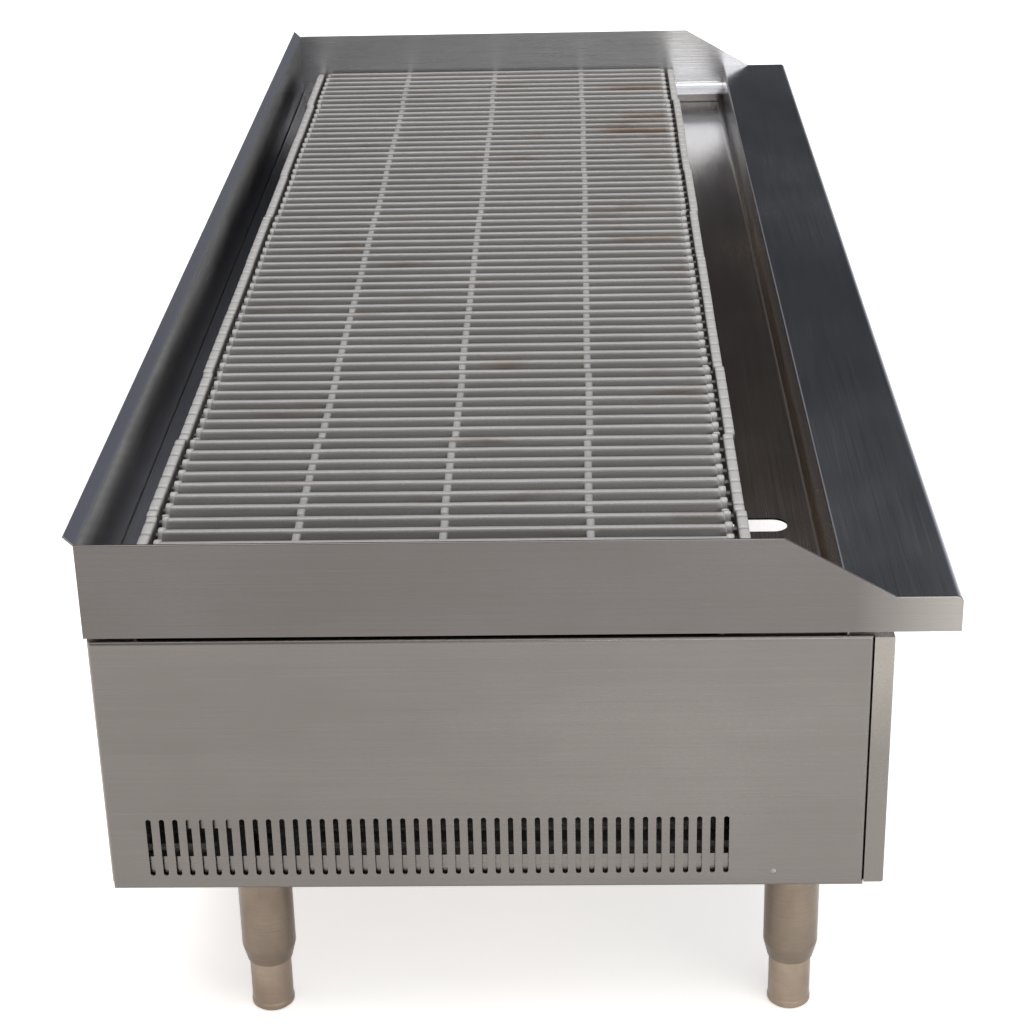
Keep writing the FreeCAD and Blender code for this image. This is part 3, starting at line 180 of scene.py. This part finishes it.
def makeStudio(spec):
    half = spec["floorHalf"]
    mesh = bpy.data.meshes.new("floor")
    corners = [(-half, -half, 0), (half, -half, 0), (half, half, 0), (-half, half, 0)]
    mesh.from_pydata(corners, [], [(0, 1, 2, 3)])
    floor = bpy.data.objects.new("floor", mesh)
    scene.collection.objects.link(floor)
    material, tree = newMaterial("paintedFloor")
    place = addNode(tree, "TexCoord").outputs["Object"]
    shade = stretchedNoise(tree, place, spec["patchSize"], 2, spec["patchSeed"])
    colour = blendColour(tree, shade, spec["floor"], spec["floorPatch"])
    seen = addNode(tree, "LightPath").outputs["Is Camera Ray"]
    glow = remap(tree, seen, 0, 1, spec["floorGlow"], spec["floorSeen"])
    settings = {"Roughness": spec["floorRough"], "Emission Color": (1, 1, 1, 1)}
    shader = addNode(tree, "BsdfPrincipled", settings, {"Base Color": colour, "Emission Strength": glow})
    finishMaterial(tree, shader)
    mesh.materials.append(material)

    data = bpy.data.lights.new("overheadSky", "SUN")
    data.energy = spec["sunPower"]
    data.angle = math.radians(spec["sunAngle"])
    sun = bpy.data.objects.new("overheadSky", data)
    sun.location = (0, 0, 3)
    scene.collection.objects.link(sun)

    makeLight("topSoftbox", spec["topPower"], spec["topSize"], spec["topAt"], spec["topAim"])
    makeLight("warmSide", spec["warmPower"], spec["warmSize"], spec["warmAt"], spec["warmAim"],
              spec["warmColour"])
    makeLight("window", spec["windowPower"], spec["windowSize"], spec["windowAt"], spec["windowAim"])
    makeLight("floorCard", spec["cardPower"], spec["cardSize"], spec["cardAt"], spec["cardAim"])

    world = bpy.data.worlds.new("world")
    world.use_nodes = True
    scene.world = world
    tree = world.node_tree
    tree.nodes.clear()
    direction = addNode(tree, "TexCoord").outputs["Generated"]
    split = addNode(tree, "SeparateXYZ", None, {0: direction})
    # the limits below are parts of the unit direction vector
    sideways = remap(tree, split.outputs[0], 0.5, -0.6, spec["front"], spec["behind"])
    upward = remap(tree, split.outputs[2], 0.45, 0.95, 0.0, spec["zenith"])
    band = remap(tree, split.outputs[2], 0.08, 0.2, spec["horizon"], 0.0)
    toRight = remap(tree, split.outputs[1], -0.15, -0.5, 0.0, spec["rightSide"])
    toLeft = remap(tree, split.outputs[1], 0.15, 0.5, 0.0, spec["leftSide"])
    below = remap(tree, split.outputs[2], 0.35, 0.6, 1.0, 0.0)
    sides = combine(tree, "MULTIPLY", combine(tree, "ADD", toRight, toLeft), below)
    level = combine(tree, "ADD", combine(tree, "ADD", sideways, upward),
                    combine(tree, "ADD", band, sides))
    seen = addNode(tree, "LightPath").outputs["Is Camera Ray"]
    strength = addNode(tree, "Mix", {"data_type": "FLOAT", 3: spec["camera"]},
                       {0: seen, 2: level}).outputs[0]
    tint = blendColour(tree, remap(tree, split.outputs[0], -0.6, 0.5, 0, 1),
                       spec["warmSky"], spec["coolSky"])
    background = addNode(tree, "Background", None, {"Color": tint, "Strength": strength})
    addNode(tree, "OutputWorld", None, {"Surface": background.outputs[0]})


makeCamera(cameraPlace)
makeStudio(studio)
scene.view_settings.view_transform = "Standard"
print("camera and studio made")


def brushedStainless(name, spec):
    # 304 stainless sheet, satin brushed: fine parallel lines, broader bands along them, faint clouds
    material, tree = newMaterial(name)
    place = addNode(tree, "TexCoord").outputs["Object"]
    along, fine, streak = spec["grain"], spec["fine"], spec["streak"]

    def sizes(length, width):
        return [length if axis == along else width for axis in "XYZ"]

    # the real lines are 0.1 mm apart, so they are drawn coarse enough to show
    lines = stretchedNoise(tree, place, sizes(140, fine), 3, 1.0)
    bands = stretchedNoise(tree, place, sizes(500, streak), 3, 5.0)
    clouds = stretchedNoise(tree, place, sizes(260, 170), 3, 9.0)
    lineShare = remap(tree, lines, 0.3, 0.7, 0, spec["lineTone"])
    bandShare = remap(tree, bands, 0.3, 0.7, 0, spec["bandTone"])
    cloudShare = remap(tree, clouds, 0.3, 0.7, 0, spec["cloudTone"])
    share = combine(tree, "ADD", combine(tree, "ADD", lineShare, bandShare), cloudShare)
    colour = blendColour(tree, share, spec["light"], spec["dark"])
    # tints that fade in over part of the sheet, in place of reflections of a room that isn't modelled
    split = addNode(tree, "SeparateXYZ", None, {0: place})
    for limits, tint in spec.get("paintedReflections", ()):
        share = None
        for axis, start, end in limits:
            part = remap(tree, split.outputs[axis], start, end, 0, 1)
            share = part if share is None else combine(tree, "MULTIPLY", share, part)
        colour = blendColour(tree, share, colour, tint)
    rough = combine(tree, "ADD", remap(tree, lines, 0.3, 0.7, spec["rough"] - 0.03, spec["rough"] + 0.04),
                    remap(tree, clouds, 0.3, 0.7, 0, spec["cloudRough"]))
    bump = addNode(tree, "Bump", {"Strength": 0.35, "Distance": spec["lineDepth"] * mm}, {"Height": lines})
    tangent = addNode(tree, "CombineXYZ", dict(enumerate(spec["smear"])))
    shader = addNode(tree, "BsdfPrincipled", {"Metallic": 1.0, "Anisotropic": spec["anisotropy"]},
                     {"Base Color": colour, "Roughness": rough, "Normal": bump.outputs[0],
                      "Tangent": tangent.outputs[0]})
    finishMaterial(tree, shader)
    return material


steelSides = {
    "grain": "Y", "smear": (0.02, 0.03, 1), "anisotropy": 0.65,
    "light": "#827e7b", "dark": "#74706d", "rough": 0.26, "cloudRough": 0.05,
    "fine": 0.8, "streak": 12, "lineTone": 0.14, "bandTone": 0.12, "cloudTone": 0.5, "lineDepth": 0.002,
}
steelLong = dict(steelSides, grain="X", smear=(0.02, 1, 0.9))
steelTop = dict(steelLong, light="#dcdcde", dark="#c6c6c9", rough=0.15, cloudRough=0.1, anisotropy=0.4,
                lineDepth=0.0008, smear=(0.02, 1, 0.05))
steelBack = dict(steelTop, light="#949496", dark="#858588", smear=(0.02, 0.05, 1))
steelTray = dict(steelLong, light="#a09c96", dark="#7d7974", rough=0.32, smear=(0.02, 0.3, 1))


def castIron(name, spec):
    # bare grey cast iron, shot blasted: matt, sandy skin with dark pores and thin brown oxide in places
    material, tree = newMaterial(name)
    place = addNode(tree, "TexCoord").outputs["Object"]
    sand = stretchedNoise(tree, place, (1.1, 1.1, 1.1), 3, 2.0)
    lumps = stretchedNoise(tree, place, (5, 9, 5), 3, 4.0)
    tone = stretchedNoise(tree, place, (60, 120, 40), 3, 6.0)
    oxide = stretchedNoise(tree, place, (26, 150, 30), 4, spec["oxideSeed"])
    colour = blendColour(tree, remap(tree, sand, 0.35, 0.65, 0, 0.6), spec["light"], spec["mid"])
    colour = blendColour(tree, remap(tree, tone, 0.35, 0.7, 0, 0.7), colour, spec["mid"])
    # the oxide thickens near the front of the far grates
    split = addNode(tree, "SeparateXYZ", None, {0: place})
    farPart = remap(tree, split.outputs[0], *spec["rustStart"], 0, 1)
    farEnd = remap(tree, split.outputs[0], *spec["rustEnd"], 1, 0)
    frontPart = remap(tree, split.outputs[1], *spec["rustFront"], 0, 1)
    spot = combine(tree, "MULTIPLY", combine(tree, "MULTIPLY", farPart, farEnd), frontPart)
    limit = combine(tree, "ADD", oxide, combine(tree, "MULTIPLY", spot, spec["rustGain"]))
    rust = remap(tree, limit, 0.6, 0.76, 0, 0.7)
    colour = blendColour(tree, rust, colour, spec["oxide"])
    # painted light and shade on the end bars: lighter on top and darker in the notches
    ends = combine(tree, "ADD", remap(tree, split.outputs[1], *spec["frontEnd"], 0, spec["endShare"]),
                   remap(tree, split.outputs[1], *spec["rearEnd"], 0, spec["endShare"]))
    crest = combine(tree, "MULTIPLY", ends, remap(tree, split.outputs[2], *spec["crest"], 0, 1))
    notchShade = combine(tree, "MULTIPLY", ends, remap(tree, split.outputs[2], *spec["notchShade"], 0, 1))
    colour = blendColour(tree, crest, colour, spec["paintedCrestLight"])
    colour = blendColour(tree, notchShade, colour, spec["paintedNotchShade"])
    # painted shade: darker lower down, between the rods and bars
    low = remap(tree, split.outputs[2], *spec["lower"], 0, spec["lowShare"])
    colour = blendColour(tree, low, colour, spec["paintedLowShade"])
    height = combine(tree, "ADD", combine(tree, "MULTIPLY", sand, 0.5), lumps)
    bump = addNode(tree, "Bump", {"Strength": 0.7, "Distance": 0.35 * mm}, {"Height": height})
    rough = remap(tree, sand, 0.3, 0.7, 0.52, 0.7)
    shader = addNode(tree, "BsdfPrincipled", {"Metallic": spec["metallic"]},
                     {"Base Color": colour, "Roughness": rough, "Normal": bump.outputs[0]})
    finishMaterial(tree, shader)
    return material


ironGrate = {
    # the third colour here is painted shade, low down between the rods
    "light": "#a5a5a4", "mid": "#959494", "paintedLowShade": "#888786", "oxide": "#7a6048",
    # the first colour here is painted light on the tops of the end bars, the second painted shade in their
    # notches
    "paintedCrestLight": "#b9b8b6", "paintedNotchShade": "#4b4845", "metallic": 0.35, "oxideSeed": 12.0,
    # pairs of places in metres between which a tint fades in or out
    "rustStart": (0.28, 0.5), "rustEnd": (0.56, 0.68), "rustFront": (0.0, -0.14), "rustGain": 0.12,
    "frontEnd": (-0.160, -0.167), "rearEnd": (0.2595, 0.2665), "endShare": 0.8,
    "crest": (0.3715, 0.3735), "notchShade": (0.3728, 0.3695),
    "lower": (0.3755, 0.364), "lowShare": 0.2,
}


def mottledMetal(name, spec):
    # a metal or coating with two tones in patches, fine grain, and its own sheen
    material, tree = newMaterial(name)
    place = addNode(tree, "TexCoord").outputs["Object"]
    patch = stretchedNoise(tree, place, spec["patch"], 4, spec.get("seed", 1.0))
    grain = stretchedNoise(tree, place, spec["grain"], 3, 3.0)
    colour = blendColour(tree, remap(tree, patch, 0.35, 0.65, 0, 1), spec["light"], spec["dark"])
    colour = blendColour(tree, remap(tree, grain, 0.35, 0.7, 0, 0.35), colour, spec["dark"])
    rough = remap(tree, grain, 0.3, 0.7, spec["rough"] - 0.06, spec["rough"] + 0.08)
    settings = {"Strength": spec.get("bump", 0.3), "Distance": spec.get("depth", 0.05) * mm}
    bump = addNode(tree, "Bump", settings, {"Height": grain})
    shader = addNode(tree, "BsdfPrincipled", {"Metallic": spec["metallic"]},
                     {"Base Color": colour, "Roughness": rough, "Normal": bump.outputs[0]})
    finishMaterial(tree, shader)
    return material


plainFinishes = {
    # radiant plate steel, blued and browned by the flame
    "heatTintedSteel": {"light": "#7d7771", "dark": "#544a44", "patch": (40, 70, 40), "grain": (3, 3, 3),
                        "rough": 0.42, "metallic": 1.0},
    # burner tube, mill finish with a brown bloom
    "burnerSteel": {"light": "#77706a", "dark": "#4d443d", "patch": (30, 60, 30), "grain": (2, 4, 2),
                    "rough": 0.45, "metallic": 1.0},
    # gas valve, forged and turned brass
    "valveBrass": {"light": "#c8a456", "dark": "#9a7a3a", "patch": (12, 12, 12), "grain": (1, 1, 1),
                   "rough": 0.3, "metallic": 1.0},
    # knob, moulded phenolic: deep black with a soft shine
    "phenolicBlack": {"light": "#1b1b1c", "dark": "#111112", "patch": (9, 9, 9), "grain": (0.8, 0.8, 0.8),
                      "rough": 0.34, "metallic": 0.0, "bump": 0.15, "depth": 0.03},
    # gas pipe, black mill scale on steel
    "blackPipe": {"light": "#3a3836", "dark": "#242322", "patch": (25, 12, 12), "grain": (2, 1.2, 1.2),
                  "rough": 0.5, "metallic": 0.6},
    # legs and feet, nickel plated and lightly turned: warm grey
    "platedSteel": {"light": "#8c8073", "dark": "#786c61", "patch": (40, 40, 60), "grain": (30, 30, 1.4),
                    "rough": 0.2, "metallic": 1.0, "bump": 0.15, "depth": 0.004},
    # feet, the same plating painted brighter: painted light
    "platedFoot": {"light": "#b0a091", "dark": "#98897b", "patch": (40, 40, 60), "grain": (30, 30, 1.4),
                   "rough": 0.2, "metallic": 1.0, "bump": 0.15, "depth": 0.004},
    # firebox and rails, mill finish steel dulled by heat
    "fireboxSteel": {"light": "#6d6a67", "dark": "#4c4845", "patch": (60, 40, 40), "grain": (4, 2, 2),
                     "rough": 0.46, "metallic": 1.0},
    # slides and leg plates, zinc coated with a fine spangle
    "galvanisedSteel": {"light": "#a3a5a6", "dark": "#84878a", "patch": (7, 7, 7), "grain": (2, 2, 2),
                        "rough": 0.38, "metallic": 1.0},
    # pointer line on a knob, baked white enamel paint
    "markWhite": {"light": "#e9e8e4", "dark": "#d9d8d3", "patch": (4, 4, 4), "grain": (0.5, 0.5, 0.5),
                  "rough": 0.45, "metallic": 0.0, "bump": 0.1, "depth": 0.02},
    # screws and rivets, passivated
    "fastenerSteel": {"light": "#a9a7a3", "dark": "#85837f", "patch": (3, 3, 3), "grain": (0.7, 0.7, 0.7),
                      "rough": 0.3, "metallic": 1.0},
}

# each zone is a painted reflection: (axis, where the tint starts, where it is full) in metres, and the tint
splashPaintedReflection = [([(1, -0.25, -0.322)], "#9c9894")]
shelfPaintedReflection = [([(2, 0.347, 0.337), (0, 0.65, 0.2)], "#b6a797")]
backPaintedReflection = [([(2, 0.424, 0.418), (0, 0.1, -0.6)], "#c8c8ca"),
             ([(2, 0.424, 0.418), (0, 0.1, 0.65)], "#3c3c42"),
             ([(2, 0.420, 0.424), (0, 0.3, -0.4)], "#78787d")]
panelPaintedReflection = [([(0, -0.755, -0.7615), (2, 0.32, 0.25)], "#7f7b77")]

# the near splash: the same steel painted darker, painted shade for the angle it stands at
shadedSplashSteel = dict(steelSides, light="#757170", dark="#6a6663", paintedReflections=splashPaintedReflection)
# the far splash: the same steel painted much lighter, painted light on its inner face
litFarSplashSteel = dict(steelSides, light="#cccdd0", dark="#bcbdc0")
steelPanels = dict(steelLong, light="#9c9892", dark="#8d8983", smear=(0.02, 0.05, 1), paintedReflections=panelPaintedReflection)

finishes = {
    "casingSides": brushedStainless("brushedStainlessSides", steelSides),
    "splash": brushedStainless("brushedStainlessShadedSplash", shadedSplashSteel),
    "litFarSplash": brushedStainless("brushedStainlessLitFarSplash", litFarSplashSteel),
    "casingLong": brushedStainless("brushedStainlessPanels", steelPanels),
    "topLong": brushedStainless("brushedStainlessTop", dict(steelTop, paintedReflections=shelfPaintedReflection)),
    "topBack": brushedStainless("brushedStainlessBackSplash", dict(steelBack, paintedReflections=backPaintedReflection)),
    "tray": brushedStainless("brushedStainlessTray", steelTray),
    "iron": castIron("blastedCastIron", ironGrate),
}
for name, spec in plainFinishes.items():
    finishes[name] = mottledMetal(name, spec)

finishOfNode = {
    "left_side_panel": "casingSides", "right_side_panel": "casingSides",
    "control_panel": "casingLong", "back_panel": "casingLong",
    "left_splash": "splash", "right_splash": "litFarSplash",
    "back_splash": "topBack", "front_shelf": "topLong",
    "front_grate_rail": "fireboxSteel", "rear_grate_rail": "fireboxSteel",
    "gas_manifold": "blackPipe", "pilot_line": "burnerSteel",
    "left_drip_tray": "tray", "right_drip_tray": "tray",
    "tray_slides": "galvanisedSteel", "leg_plates": "galvanisedSteel", "fasteners": "fastenerSteel",
}
startsWith = {
    "firebox": "fireboxSteel", "grate": "iron", "radiant": "heatTintedSteel",
    "burner": "burnerSteel", "gas_valve": "valveBrass", "knob": "phenolicBlack",
}


def giveFinish(piece, key):
    piece.data.materials.clear()
    piece.data.materials.append(finishes[key])


for name, node in nodes.items():
    key = finishOfNode.get(name)
    if key is None and name.endswith(("_leg", "_foot")):
        key = "platedFoot" if name.endswith("_foot") else "platedSteel"
    if key is None:
        key = next(value for start, value in startsWith.items() if name.startswith(start))
    giveFinish(node, key)
print("finishes given:", len(finishes))


grateShape = {
    "rodPitch": 21.45, "rodCount": 7, "rodHalfTop": 3.1, "rodHalfLow": 2.0,
    "stepStart": 18.6, "stepEnd": 15.4, "stepDrop": 12.5,
    "barHalf": 3.5, "barDrop": 2.6, "barPitch": 111.3, "barInset": 15.5,
    "endBarHalf": 4.5, "endBarDrop": 2.5,
    "valley": 8.0,         # the outer bars dip where a rod crosses them, so their tops are a row of teeth
    "notch": 6.0,          # thin cut across the end bar at each rod
    "flare": 1.0,          # cast fillet where a rod meets a bar
    "fillet": 3.6, "notchHalf": 1.25, "cornerRound": 0.9,
    "barRise": 0.7, "swell": {"middle": 0.6, "outer": -0.8, "end": 0.0},
    "wave": 0.09, "ripple": 0.07,          # a casting is never quite straight
    "barRandom": (-0.15, 0.1), "seed": 40,
}


def sweptShell(rings):
    # closed shell from stations x points x 3: quads between neighbouring rings, and one polygon at each end
    stations, points = rings.shape[:2]
    index = np.arange(stations * points).reshape(stations, points)
    nextPoint = np.roll(index, -1, axis=1)
    quads = np.stack([index[:-1], nextPoint[:-1], nextPoint[1:], index[1:]], axis=-1).reshape(-1, 4)
    faces = quads.tolist() + [index[0][::-1].tolist(), index[-1].tolist()]
    return rings.reshape(-1, 3), faces


def meshPiece(name, shells, finish, smooth=True):
    vertices, faces, start = [], [], 0
    for points, polygons in shells:
        vertices.append(points)
        faces += [[i + start for i in polygon] for polygon in polygons]
        start += len(points)
    mesh = bpy.data.meshes.new(name)
    mesh.from_pydata(np.concatenate(vertices).tolist(), [], faces)
    mesh.update()
    mesh.polygons.foreach_set("use_smooth", [smooth] * len(mesh.polygons))
    piece = bpy.data.objects.new(name, mesh)
    scene.collection.objects.link(piece)
    giveFinish(piece, finish)
    return piece


# section of a bar, as shares of its half width and its height, from the bottom edge over the crown
barSection = np.array([(-0.72, 0.0), (-1.0, 0.05), (-1.0, 0.45), (-1.0, 0.86), (-0.93, 0.95),
                       (-0.7, 0.99), (0, 1.0), (0.7, 0.99), (0.93, 0.95), (1.0, 0.86), (1.0, 0.45),
                       (1.0, 0.05), (0.72, 0.0)])


def castBar(along, middle, halfLow, halfTop, low, high, axis):
    # section carried along a straight line: across = middle + share * half width,
    # height = low + share * (high - low)
    share = barSection[:, 1][None, :]
    half = halfLow[:, None] * (1 - share) + halfTop[:, None] * share
    across = middle[:, None] + barSection[:, 0][None, :] * half
    height = low[:, None] + share * (high - low)[:, None]
    run = np.repeat(along[:, None], len(barSection), axis=1)
    if axis == "Y":
        rings = np.stack([across, run, height], axis=-1)
    else:
        rings = np.stack([run, across, height], axis=-1)[:, ::-1]     # keeps the faces outward
    return sweptShell(rings * mm)


def bell(distance, width):
    return np.exp(-(distance / width) ** 2)


def wander(along, random, size):
    # three slow sine waves with random phases
    total = np.zeros_like(along)
    for length in (310, 140, 63):
        total += np.sin(along * 2 * math.pi / length + random.uniform(0, 2 * math.pi)) * size / 2
    return total


def castGrate(number, shape):
    low, high = (np.array(corner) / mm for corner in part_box(f"grate_{number}"))
    random = np.random.default_rng(shape["seed"] + number)
    centre = (low[0] + high[0]) / 2
    top, bottom = high[2], low[2]
    front, back = low[1], high[1]
    rods = centre + (np.arange(shape["rodCount"]) - (shape["rodCount"] - 1) / 2) * shape["rodPitch"]
    middleBars = [(front + back) / 2 + shape["barPitch"] * k for k in (-1, 0, 1)]
    outerBars = [front + shape["barInset"], back - shape["barInset"]]
    endBars = [front + shape["endBarHalf"], back - shape["endBarHalf"]]
    shells = []
    stepStops = np.array([0.4, 4, 9, 12, 13.5, 14.6, 15.4, 16.2, 17.0, 17.8, 18.6, 20])
    stops = np.unique(np.concatenate([np.linspace(front + 24, back - 24, 44)]
                                     + [bar + np.linspace(-8, 8, 7) for bar in middleBars]
                                     + [front + stepStops, back - stepStops]))
    for rod in rods:
        flare = sum(bell(stops - bar, shape["fillet"]) for bar in middleBars + outerBars + endBars)
        flare = flare * shape["flare"]
        toEnd = np.minimum(stops - front, back - stops)
        step = np.clip((shape["stepStart"] - toEnd) / (shape["stepStart"] - shape["stepEnd"]), 0, 1)
        step = step * step * (3 - 2 * step) * shape["stepDrop"]     # smooth step
        crest = top - step - 0.1 + wander(stops, random, shape["ripple"])
        middle = rod + wander(stops, random, shape["wave"])
        halfTop = shape["rodHalfTop"] - 0.1 + wander(stops, random, shape["ripple"]) + flare * 0.2
        halfLow = shape["rodHalfLow"] + flare
        foot = np.full_like(stops, bottom + 0.1)
        shells.append(castBar(stops, middle, halfLow, halfTop, foot, crest, "Y"))
    kinds = [(bar, "middle") for bar in middleBars] + [(bar, "outer") for bar in outerBars]
    kinds += [(bar, "end") for bar in endBars]
    side = np.array([0.6, 1.2, 1.9, 2.8, 3.7, 4.8, 6.5, 9])
    steps = np.concatenate([-side[::-1], [0], side])
    run = np.unique(np.concatenate([[low[0], low[0] + 0.8, high[0] - 0.8, high[0]]]
                                   + [rod + steps for rod in rods]))
    run = run[(run >= low[0]) & (run <= high[0])]
    near = sum(bell(run - rod, shape["fillet"]) for rod in rods)
    wide = 0.5 + 0.5 * np.cos((run - rods[0]) * 2 * math.pi / shape["rodPitch"])
    cut = sum(bell(run - rod, shape["notchHalf"]) for rod in rods)
    corner = 0.7 * (bell(run - low[0], shape["cornerRound"]) + bell(run - high[0], shape["cornerRound"]))
    for bar, kind in kinds:
        half = shape["endBarHalf"] if kind == "end" else shape["barHalf"]
        drop = shape["endBarDrop"] if kind == "end" else shape["barDrop"]
        rises = {"middle": shape["barRise"] * near, "outer": -shape["valley"] * wide,
                 "end": -shape["notch"] * cut}
        crest = top - drop + rises[kind] - corner + random.uniform(*shape["barRandom"])
        halfTop = np.full_like(run, half - 0.3) + shape["swell"][kind] * near - corner * 0.5
        middle = np.full_like(run, bar)
        foot = np.full_like(run, bottom + 1.0)
        shells.append(castBar(run, middle, halfTop * 0.9, halfTop, foot, crest, "X"))
    piece = meshPiece(f"grate_casting_{number}", shells, "iron")
    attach(piece, f"grate_{number}")
    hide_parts(f"grate_{number}")


for number in range(1, 11):
    castGrate(number, grateShape)
print("grates cast")

knobMark = {
    "halfWide": 0.8,       # white line filled into a groove along the finger grip
    "inner": 3.0, "outer": 15.0,
    "proud": 0.08, "sunk": 0.5,
}


def slab(corner, across, up, away):
    # closed box from a corner and three edges, all in millimetres
    corner, across, up, away = (np.array(v, float) for v in (corner, across, up, away))
    ring = np.array([corner, corner + across, corner + across + up, corner + up])
    return sweptShell(np.stack([ring + away, ring]) * mm)


def knobMarks(number, spec):
    low, high = (np.array(corner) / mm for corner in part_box(f"knob_{number}"))
    centre = (low + high) / 2
    face = low[1]
    start = (centre[0] - spec["halfWide"], face - spec["proud"], centre[2] + spec["inner"])
    line = slab(start, (2 * spec["halfWide"], 0, 0), (0, 0, spec["outer"] - spec["inner"]),
                (0, spec["proud"] + spec["sunk"], 0))
    pointer = meshPiece(f"knob_pointer_{number}", [line], "markWhite", smooth=False)
    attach(pointer, f"knob_{number}")


for number in range(1, 6):
    knobMarks(number, knobMark)
print("knob pointers made")
